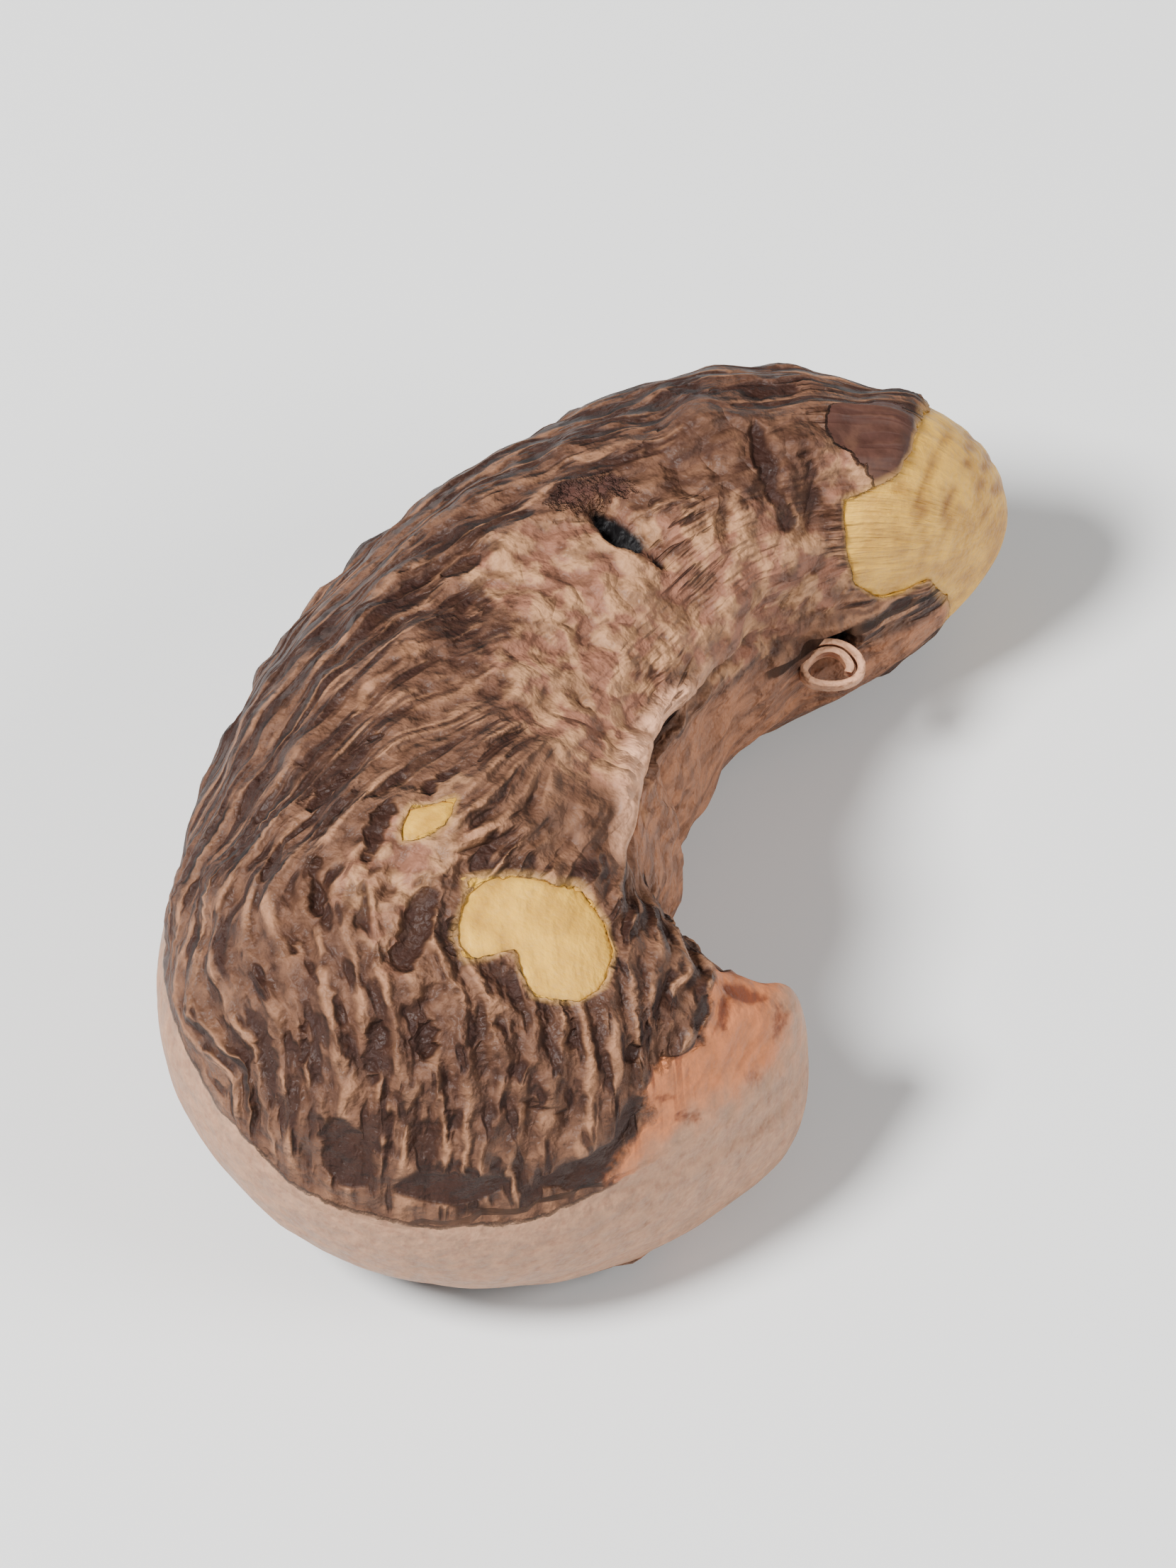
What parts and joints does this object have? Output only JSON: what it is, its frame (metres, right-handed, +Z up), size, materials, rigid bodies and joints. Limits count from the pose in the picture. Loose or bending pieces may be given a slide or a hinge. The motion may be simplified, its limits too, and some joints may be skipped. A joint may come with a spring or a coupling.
{
  "type": "cashew nut",
  "caption": "Roasted cashew nut in its brown papery skin, lying on its side: a crescent with a blunt bare tip, a fat lobe, a small hook and bare patches that show the pale kernel.",
  "frame": {"origin": "middle of the nut's outline seen from above, on the surface that it lies on", "axes": "+Y along the nut's length towards the blunt tip, +X towards the open side of the bend, +Z up, through the nut's thickness"},
  "size_m": [0.019, 0.0308, 0.0133],
  "materials": {
    "skin": "matt, papery, brown with a pale strip along the back",
    "kernel": "smooth, slightly oily, creamy yellow"
  },
  "bodies": {
    "root": {"skin": "skin", "kernel": "kernel"}
  },
  "joints": []
}
